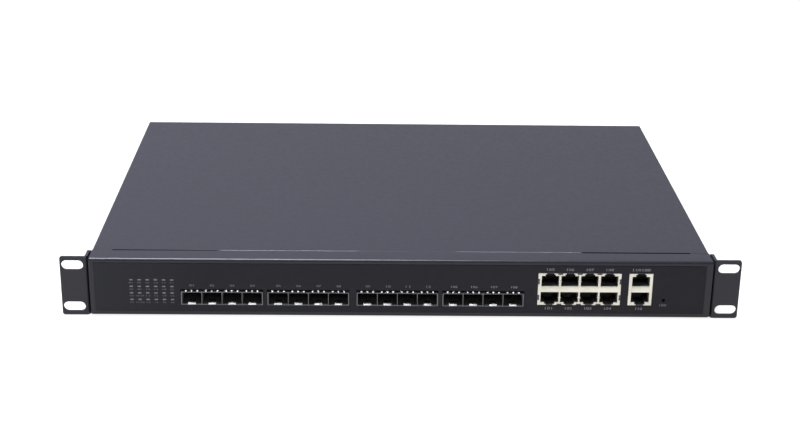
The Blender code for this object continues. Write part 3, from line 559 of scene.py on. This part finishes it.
def make_cage_latches(number):
    """The latch leaf at the floor of each tube's mouth, white as a painted glint, with a gold-plated contact
    strip behind it.
    """
    ports, low, _ = cage_ports(f"sfp_cage_{number}")
    leaf, strip = bmesh.new(), bmesh.new()
    path = [(y, low.z + z) for y, z in LATCH_PROFILE]
    for x in ports:
        add_ribbon(leaf, path, x - LATCH_HALF, x + LATCH_HALF)
        add_box(strip, (x - STRIP_HALF, STRIP_Y[0], low.z + STRIP_Z[0]),
                (x + STRIP_HALF, STRIP_Y[1], low.z + STRIP_Z[1]))
    latches = link_mesh(f"sfp_cage_{number}_latches", leaf, GLINT_WHITE, "casing")
    solid = latches.modifiers.new("leaf", "SOLIDIFY")
    solid.thickness = LATCH_LEAF * MM
    shade_round(latches.data, 60)
    link_mesh(f"sfp_cage_{number}_springs", strip, GOLD, "casing")


def make_cage_connectors(number):
    """The edge connector at the back of each tube: two bars joined by a cheek at each end."""
    ports, low, _ = cage_ports(f"sfp_cage_{number}")
    front, back = CONNECTOR_Y
    bm = bmesh.new()
    for x in ports:
        left, right = x - CONNECTOR_HALF, x + CONNECTOR_HALF
        for bottom, top in ((0.5, 3.2), (4.4, 6.6)):
            add_box(bm, (left, front, low.z + bottom), (right, back, low.z + top))
        for side in (left, right - CHEEK):
            add_box(bm, (side, front, low.z + 3.1), (side + CHEEK, back, low.z + 4.5))
    soften(link_mesh(f"sfp_cage_{number}_connectors", bm, BLACK, "casing"), 0.15)


# ---------------------------------------------------------------- modular jacks

JACK_FACE = (9.3, 33.7)
JACK_DEPTH = 12.5
SHIELD = 0.5
WIDE_PORTS = (105.3, 119.3, 133.3, 147.4)
NARROW_PORTS = (169.9,)
# The lower mouths, then the upper ones: half of a mouth's width, how far its two ends are in from the
# shield's edge, and the notch's two half-widths
WIDE_MOUTHS = ((6.45, 2.2, 9.97, 3.7, 2.55), (6.2, 1.95, 9.8, 3.6, 2.6))
NARROW_MOUTHS = ((6.45, 2.6, 10.05, 3.7, 2.7), (6.25, 2.3, 9.55, 3.75, 2.75))
NOTCH_STEP = 0.7
# The small notch between two of the wide shield's mouths, as (across, inwards) points
GAP_NOTCH = ((-1.9, 0), (-1.6, 1), (1.6, 1), (1.9, 0))
# The wide shield's side notches: the height of their middles, and one's outline as (inwards, up) points
SIDE_NOTCHES = (15.1, 27.45)
SIDE_NOTCH = ((0, -2.1), (1.2, -1.8), (1.2, -0.7), (0.8, 0), (1.2, 0.7), (1.2, 1.8), (0, 2.1))
BUMP_HALF = (1.25, 0.3, 0.7)
JACK_SPRINGS, SPRING_PITCH, SPRING_HALF, SPRING_WIRE = 8, 1.02, 0.16, 0.3


def jack_mouth(x, edge, way, mouth, shrink=0.0):
    """A jack's mouth with its stepped notch open at the shield's edge; way is +1 or -1, into the mouth."""
    half, near, far, wide, narrow = mouth
    left = [(narrow, 0), (narrow, NOTCH_STEP), (wide, NOTCH_STEP), (wide, near), (half, near), (half, far)]
    left = [(across - shrink, in_by - shrink * (in_by == far)) for across, in_by in left]
    return ([(x - across, edge + way * in_by) for across, in_by in left]
            + [(x + across, edge + way * in_by) for across, in_by in reversed(left)])


def shield_outline(left, right, ports, mouths, notched):
    """The shield as one outline that runs in and out of every mouth and of the small notches between."""
    low, high = JACK_FACE
    gaps = [(a + b) / 2 for a, b in zip(ports, ports[1:])] if notched else []

    def edge_path(edge, way, mouth):
        cuts = [(x, jack_mouth(x, edge, way, mouth)) for x in ports]
        cuts += [(x, [(x + across, edge + way * inwards) for across, inwards in GAP_NOTCH]) for x in gaps]
        return [point for _, cut in sorted(cuts) for point in cut]

    def side_path(x, way):
        return [(x + way * across, z + up) for z in (SIDE_NOTCHES if notched else ())
                for across, up in SIDE_NOTCH]

    below, above = edge_path(low, 1, mouths[0]), edge_path(high, -1, mouths[1])
    return ([(left, low)] + below + [(right, low)] + side_path(right, -1)
            + [(right, high)] + above[::-1] + [(left, high)] + side_path(left, 1)[::-1])


def make_jack_block(node, ports, shapes, notched):
    """A stacked jack block: thin plated shield in front, black housings behind it, eight springs in each,
    their gold darkened as painted shade.
    """
    low, high = measured(node)
    face_low, face_high = JACK_FACE
    outline = round_corners(shield_outline(low.x, high.x, ports, shapes, notched), 0.15, 2)
    bm = outline_mesh(node, [outline], SHIELD, 0.08)
    bm.transform(Matrix.Translation((0, low.y, 0)))
    shield = link_mesh(f"{node}_shield", bm, NICKEL, "casing")
    shade_round(shield.data)
    ends = ((face_low, 1, shapes[0]), (face_high, -1, shapes[1]))
    mouths = [(x, edge, way, shape) for x in ports for edge, way, shape in ends]
    front = low.y + SHIELD + 0.05
    behind = rectangle(low.x - 0.2, high.x + 0.2, face_low - 0.2, face_high + 0.2)
    liners = [[(u, min(max(v, face_low + 0.3), face_high - 0.3)) for u, v in jack_mouth(*mouth, 0.1)]
              for mouth in mouths]
    housing = outline_mesh(node, [behind, *liners], JACK_DEPTH)
    housing.transform(Matrix.Translation((0, front, 0)))
    add_box(housing, (low.x + 0.2, front + JACK_DEPTH, low.z), (high.x - 0.2, high.y, high.z))
    body = link_mesh(f"{node}_housing", housing, INSIDE, "casing")
    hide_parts(node)
    springs = bmesh.new()
    for x, edge, way, shape in mouths:
        base = edge + way * shape[2]
        for spring in range(JACK_SPRINGS):
            middle = x + (spring - (JACK_SPRINGS - 1) / 2) * SPRING_PITCH
            path = [(12.2, base - way * 0.4), (9.2, base - way * 1.5), (8.8, base - way * 1.5)]
            add_ribbon(springs, path, middle - SPRING_HALF, middle + SPRING_HALF)
    # The springs' gold is darkened as painted shade.
    contacts = link_mesh(f"{node}_springs", springs, SHADED_GOLD, "casing")
    solid = contacts.modifiers.new("wire", "SOLIDIFY")
    solid.thickness = SPRING_WIRE * MM


def make_shield_bumps():
    """The small sprung bumps on the wide shield's dividers."""
    front = measured("rj45_block_8")[0].y
    bm = bmesh.new()
    for left, right in zip(WIDE_PORTS, WIDE_PORTS[1:]):
        for z in SIDE_NOTCHES:
            middle = Matrix.Translation(((left + right) / 2, front + 0.1, z))
            bmesh.ops.create_uvsphere(bm, u_segments=12, v_segments=8, radius=1,
                                      matrix=middle @ Matrix.Diagonal((*BUMP_HALF, 1)))
    bumps = link_mesh("rj45_block_8_bumps", bm, NICKEL, "casing")
    shade_round(bumps.data, 180)


# ---------------------------------------------------------------- front film: windows and numbers

LED_COLUMNS, LED_ROWS = 6, 4
LED_FIRST, LED_STEP = (-191.5, 11.5), (5.74, 5.05)
WINDOW_HALF = (1.35, 0.09, 0.58)
FILM_FRONT = measured("front_overlay")[0].y
PRINT_LIFT = 0.03
FIGURE_SHARE = 0.7
CAGE_LABEL_Z = 22.5
JACK_LABEL_LOW_Z, JACK_LABEL_HIGH_Z, JACK_LABEL_HEIGHT = 6.3, 36.3, 1.85
RESET_LABEL = (186.6, 9.1)
WINDOW_LABEL_DROP = 2.3


def windows_in_order():
    """Each window's column, its row from the bottom, and the x and z of its middle."""
    return [(column, row, LED_FIRST[0] + column * LED_STEP[0], LED_FIRST[1] + row * LED_STEP[1])
            for column in range(LED_COLUMNS) for row in range(LED_ROWS)]


def make_windows():
    """The oval status windows printed clear in the film."""
    bm = bmesh.new()
    for _, _, x, z in windows_in_order():
        matrix = (Matrix.Translation((x, FILM_FRONT - 0.01, z)) @ Matrix.Diagonal((*WINDOW_HALF, 1))
                  @ Matrix.Rotation(math.pi / 2, 4, "X"))
        bmesh.ops.create_uvsphere(bm, u_segments=24, v_segments=8, radius=1, matrix=matrix)
    windows = link_mesh("status_windows", bm, GUIDE, "casing")
    shade_round(windows.data, 180)


def add_label(bm, text, x, z, height, width, weight=0.0):
    """Printed figures, centred on a point of the film's face; weight in millimetres makes them bolder.

    A figure's height is FIGURE_SHARE of the font's size.
    """
    curve = bpy.data.curves.new("label", "FONT")
    curve.body = text
    curve.align_x, curve.align_y = "CENTER", "CENTER"
    curve.size = height / FIGURE_SHARE
    curve.extrude = 0.008
    curve.offset = weight
    curve.resolution_u = 3
    holder = bpy.data.objects.new("label", curve)
    bpy.context.scene.collection.objects.link(holder)
    bpy.context.view_layer.update()
    mesh = holder.evaluated_get(bpy.context.evaluated_depsgraph_get()).to_mesh()
    part = bmesh.new()
    part.from_mesh(mesh)
    across = max(v.co.x for v in part.verts) - min(v.co.x for v in part.verts)
    turn = Matrix.Rotation(math.pi / 2, 4, "X") @ Matrix.Scale(width / across, 4, (1, 0, 0))
    part.transform(Matrix.Translation((x, FILM_FRONT - PRINT_LIFT, z)) @ turn)
    flat = bpy.data.meshes.new("label")
    part.to_mesh(flat)
    part.free()
    bm.from_mesh(flat)
    bpy.data.meshes.remove(flat)
    bpy.data.objects.remove(holder)
    bpy.data.curves.remove(curve)


def make_labels():
    """Plain numbers by the ports and the windows."""
    bm, small = bmesh.new(), bmesh.new()
    count = 0
    for number in range(1, 5):
        ports, _, _ = cage_ports(f"sfp_cage_{number}")
        for x in ports:
            count += 1
            if number < 4:
                add_label(small, f"{count:02d}", x + 0.3, CAGE_LABEL_Z, 1.55, 3.2, 0.03)
            else:
                add_label(bm, f"{92 + count}", x + 0.3, CAGE_LABEL_Z, 1.6, 4.6, 0.02)
    for index, x in enumerate(WIDE_PORTS):
        add_label(bm, f"{101 + index}", x - 0.3, JACK_LABEL_LOW_Z, JACK_LABEL_HEIGHT, 5.1, 0.04)
        add_label(bm, f"{105 + index}", x - 0.3, JACK_LABEL_HIGH_Z, JACK_LABEL_HEIGHT, 5.3, 0.04)
    add_label(bm, "110100", NARROW_PORTS[0] - 0.3, JACK_LABEL_HIGH_Z, JACK_LABEL_HEIGHT, 12.6, 0.04)
    add_label(bm, "110", NARROW_PORTS[0] - 0.4, JACK_LABEL_LOW_Z, JACK_LABEL_HEIGHT, 4.8, 0.04)
    link_mesh("port_numbers", bm, INK, "casing")
    add_label(small, "100", *RESET_LABEL, JACK_LABEL_HEIGHT, 4.9, 0.03)
    for column, row, x, z in windows_in_order():
        number = column * LED_ROWS + (LED_ROWS - row)
        wide = column == 1 and row < 2
        text = f"{10100 + number if wide else number:02d}"
        add_label(small, text, x, z - WINDOW_LABEL_DROP, 1.0, 5.8 if wide else 2.6)
    link_mesh("small_numbers", small, DIM_INK, "casing")


def make_film_edge():
    """Painted shade: a dark line round the film, where its edge stands in a shallow recess."""
    low, high = measured("front_overlay")
    rings = [rectangle(low.x - r, high.x + r, low.z - r, high.z + r) for r in (0.3, -0.2)]
    bm = outline_mesh("film_edge_shade", rings, 0.06)
    bm.transform(Matrix.Translation((0, -0.08, 0)))
    link_mesh("film_edge_shade", bm, RECESS_SHADE, "casing")


# The seam from left to right: where it is narrow with a painted highlight, narrow and plain, and wide with
# painted shade. The shaded stretches also say how wide they look at their two ends.
SEAM_LIT = ((-129.3, -31.4), (38.8, 127.5))
SEAM_PLAIN = ((-31.4, 38.8),)
SEAM_SHADED = ((-206.3, -131.3, 1.7, 0.8), (129.3, 207.0, 1.8, 1.8))


def make_seam_edge():
    """The seam between the lip and the cover: a painted highlight on its edge in two stretches, and a dark
    strip of painted shade towards its ends.
    """
    panel_back, top = measured("front_panel")[1].y, measured("top_cover")[1].z
    lit, plain, shade = bmesh.new(), bmesh.new(), bmesh.new()
    for bm, stretches in ((lit, SEAM_LIT), (plain, SEAM_PLAIN)):
        for left, right in stretches:
            add_box(bm, (left, panel_back + 0.01, top - 0.9), (right, panel_back + 0.29, top - 0.04))
    middle = panel_back - 0.25
    for left, right, wide_left, wide_right in SEAM_SHADED:
        corners = [(left, middle - wide_left / 2), (right, middle - wide_right / 2),
                   (right, middle + wide_right / 2), (left, middle + wide_left / 2)]
        add_prism(shade, corners, top - 0.5, top + 0.02)
    link_mesh("seam_edge_lit", lit, SEAM_HIGHLIGHT, "casing")
    link_mesh("seam_edge_plain", plain, PAINT, "casing")
    link_mesh("seam_shade", shade, DEEP_SHADE, "casing")


# ---------------------------------------------------------------- rear marks

ROCKER_PLACE = (-147.0, 315.4, 21.0)
ROCKER_TILT = math.radians(12.0)
ROCKER_FACE, ROCKER_FACE_SLOPE, MARK_UP = 3.82, math.radians(14.4), 3.2


def make_rocker_marks():
    """The bar and the ring printed on the two ends of the power rocker."""
    bar = [rectangle(-0.25, 0.25, -1.3, 1.3)]
    ring = [arc(0, 0, radius, 0, 350, 35) for radius in (1.35, 0.9)]
    for name, outlines, way in (("bar", bar, 1), ("ring", ring, -1)):
        bm = outline_mesh(name, outlines, 0.08)
        lean = Matrix.Rotation(-way * ROCKER_FACE_SLOPE, 4, "X")
        bm.transform(Matrix.Translation(ROCKER_PLACE) @ Matrix.Rotation(ROCKER_TILT, 4, "X")
                     @ Matrix.Translation((0, ROCKER_FACE - 0.04, way * MARK_UP)) @ lean)
        link_mesh(f"power_rocker_{name}", bm, WHITE_INK, "rocker")


# ---------------------------------------------------------------- screws

# A pan head's side view, in shares of its radius and height
PAN_HEAD = ((1, 0), (1, 0.45), (0.93, 0.72), (0.72, 0.93), (0.4, 1), (0.36, 1))
HEAD_SIDES = 32


def add_screw_head(bm, matrix, radius, height):
    """A domed pan head with a cross recess, its axis along local z."""
    around = [math.tau * step / HEAD_SIDES for step in range(HEAD_SIDES)]
    previous = None
    for share, up in PAN_HEAD:
        reach = radius * share
        ring = [bm.verts.new(matrix @ Vector((reach * math.cos(a), reach * math.sin(a), height * up)))
                for a in around]
        if previous:
            for step in range(HEAD_SIDES):
                following = (step + 1) % HEAD_SIDES
                bm.faces.new((previous[step], previous[following], ring[following], ring[step]))
        else:
            bm.faces.new(list(reversed(ring)))
        previous = ring
    arm, slot, floor = radius * 0.36, radius * 0.09, height * 0.35
    cross = [(arm, -slot), (arm, slot), (slot, slot), (slot, arm), (-slot, arm), (-slot, slot),
             (-arm, slot), (-arm, -slot), (-slot, -slot), (-slot, -arm), (slot, -arm), (slot, -slot)]
    top = [bm.verts.new(matrix @ Vector((x, y, height))) for x, y in cross]
    bottom = [bm.verts.new(matrix @ Vector((x * 0.7, y * 0.7, floor))) for x, y in cross]
    for step in range(12):
        following = (step + 1) % 12
        bm.faces.new((top[following], top[step], bottom[step], bottom[following]))
    bm.faces.new(bottom)
    rim = [edge for loop in (previous, top) for vert in loop for edge in vert.link_edges
           if edge.other_vert(vert) in loop]
    bmesh.ops.triangle_fill(bm, use_beauty=True, use_dissolve=False, edges=list(dict.fromkeys(rim)))


def facing(place_of_head, way):
    """The matrix that puts local z along a direction, at a point."""
    return Matrix.Translation(place_of_head) @ way.to_track_quat("Z", "Y").to_matrix().to_4x4()


def replace_screw(node, axis, radius, height, shank):
    """Stand a detailed screw in for a CAD one; axis points out of its head."""
    low, high = measured(node)
    middle = (low + high) / 2
    way = Vector(axis)
    outer = Vector([high[i] if way[i] > 0 else low[i] if way[i] < 0 else middle[i] for i in range(3)])
    matrix = facing(outer - way * height, way)
    bm = bmesh.new()
    add_screw_head(bm, matrix, radius, height)
    length = abs((high - low).dot(way)) - height
    bmesh.ops.create_cone(bm, cap_ends=True, segments=20, radius1=shank * 0.9, radius2=shank,
                          depth=length - 0.05, matrix=matrix @ Matrix.Translation((0, 0, -length / 2)))
    bmesh.ops.recalc_face_normals(bm, faces=bm.faces)
    screw = link_mesh(f"{node}_detailed", bm, ZINC, "casing")
    shade_round(screw.data, 30)
    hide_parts(node)


def make_spare_plate_screws():
    """The two pan heads that hold the plate over the spare bay."""
    low, high = measured("spare_bay_plate")
    bm = bmesh.new()
    for x in (low.x + 3.0, high.x - 3.0):
        head = Vector((x, high.y - 0.02, (low.z + high.z) / 2))
        add_screw_head(bm, facing(head, Vector((0, 1, 0))), 2.4, 1.6)
    bmesh.ops.recalc_face_normals(bm, faces=bm.faces)
    screws = link_mesh("spare_bay_plate_screws", bm, ZINC, "casing")
    shade_round(screws.data, 30)


MAIN_BOARD_STUDS = [(x, y) for x in (-198, -20, 198) for y in (62, 158)]
SUPPLY_BOARD_STUDS = [(x, y) for x in (-208, -111) for y in (186, 269)]


def make_stud_heads():
    """The pressed-in feet of the standoffs, all but flush with the underside."""
    bm = bmesh.new()
    for x, y in MAIN_BOARD_STUDS + SUPPLY_BOARD_STUDS:
        bmesh.ops.create_cone(bm, cap_ends=True, segments=24, radius1=2.9, radius2=3.1, depth=0.3,
                              matrix=Matrix.Translation((x, y, 0.03)))
    studs = link_mesh("standoff_feet", bm, ZINC, "casing")
    shade_round(studs.data, 30)


# ---------------------------------------------------------------- CAD nodes that stay

CASING_NODES = ("top_cover", "chassis_base", "spare_bay_plate", "front_panel", "ear_left", "ear_right")
NODE_MATERIALS = {
    "front_overlay": FILM_INK, "led_light_pipe": GUIDE, "main_board": BOARD, "psu_board": BOARD,
    "switch_chip": BLACK, "optics_chip": BLACK, "switch_heatsink": ALUMINIUM, "optics_heatsink": ALUMINIUM,
    "psu_heatsink": ALUMINIUM, "psu_transformer": TAPE, "psu_capacitor": SLEEVE, "ac_inlet": BLACK,
    "inlet_pin_live": BRASS, "inlet_pin_earth": BRASS, "inlet_pin_neutral": BRASS,
    "power_switch_frame": BLACK, "power_rocker": BLACK, "earth_stud": BRASS, "earth_nut": BRASS,
    "reset_switch_body": BLACK, "reset_button": BLACK, "live_wire_in": BROWN, "live_wire_out": BROWN,
    "neutral_wire": BLUE, "earth_wire": GREEN, "dc_harness": WIRE_BLACK,
}
MOULDED_NODES = ("ac_inlet", "power_switch_frame", "power_rocker")
SHEET_EDGE, MOULDED_EDGE = 0.15, 0.2
SMOOTHING = make_smoothing()


def paint_node(node, material, bevel=0.0):
    """Give a CAD node its material, smooth shading and, where bevel says so, softened edges."""
    obj = nodes[node]
    obj.data.materials.clear()
    obj.data.materials.append(material)
    obj.modifiers.new("smoothed", "NODES").node_group = SMOOTHING
    if bevel:
        soften(obj, bevel)
        flatten = obj.modifiers.new("flat_faces_stay_flat", "WEIGHTED_NORMAL")
        flatten.keep_sharp = True


def paint_cad_nodes():
    """Every CAD node that nothing in this file replaces."""
    for node in CASING_NODES:
        paint_node(node, PAINT, SHEET_EDGE)
    for node, material in NODE_MATERIALS.items():
        paint_node(node, material, MOULDED_EDGE if node in MOULDED_NODES else 0)
    for number in (1, 2, 3):
        paint_node(f"fan_frame_{number}", BLACK)
        paint_node(f"fan_rotor_{number}", BLACK)
        paint_node(f"fan_lead_{number}", WIRE_BLACK)
    for node in nodes:
        if node.startswith("foot_"):
            paint_node(node, RUBBER)


make_camera()
make_lights()
make_world()
make_floor()
paint_cad_nodes()
for number in range(1, 5):
    make_cage(number)
    make_cage_fingers(number)
    make_cage_latches(number)
    make_cage_connectors(number)
make_jack_block("rj45_block_8", WIDE_PORTS, WIDE_MOUTHS, True)
make_jack_block("rj45_block_2", NARROW_PORTS, NARROW_MOUTHS, False)
make_shield_bumps()
make_windows()
make_labels()
make_film_edge()
make_seam_edge()
make_rocker_marks()
for side, way in (("left", -1), ("right", 1)):
    for number in (1, 2, 3):
        replace_screw(f"ear_screw_{side}_{number}", (way, 0, 0), 3.6, 2.0, 1.9)
for number in (1, 2, 3):
    replace_screw(f"cover_screw_{number}", (0, 1, 0), 2.8, 2.0, 1.5)
make_spare_plate_screws()
make_stud_heads()
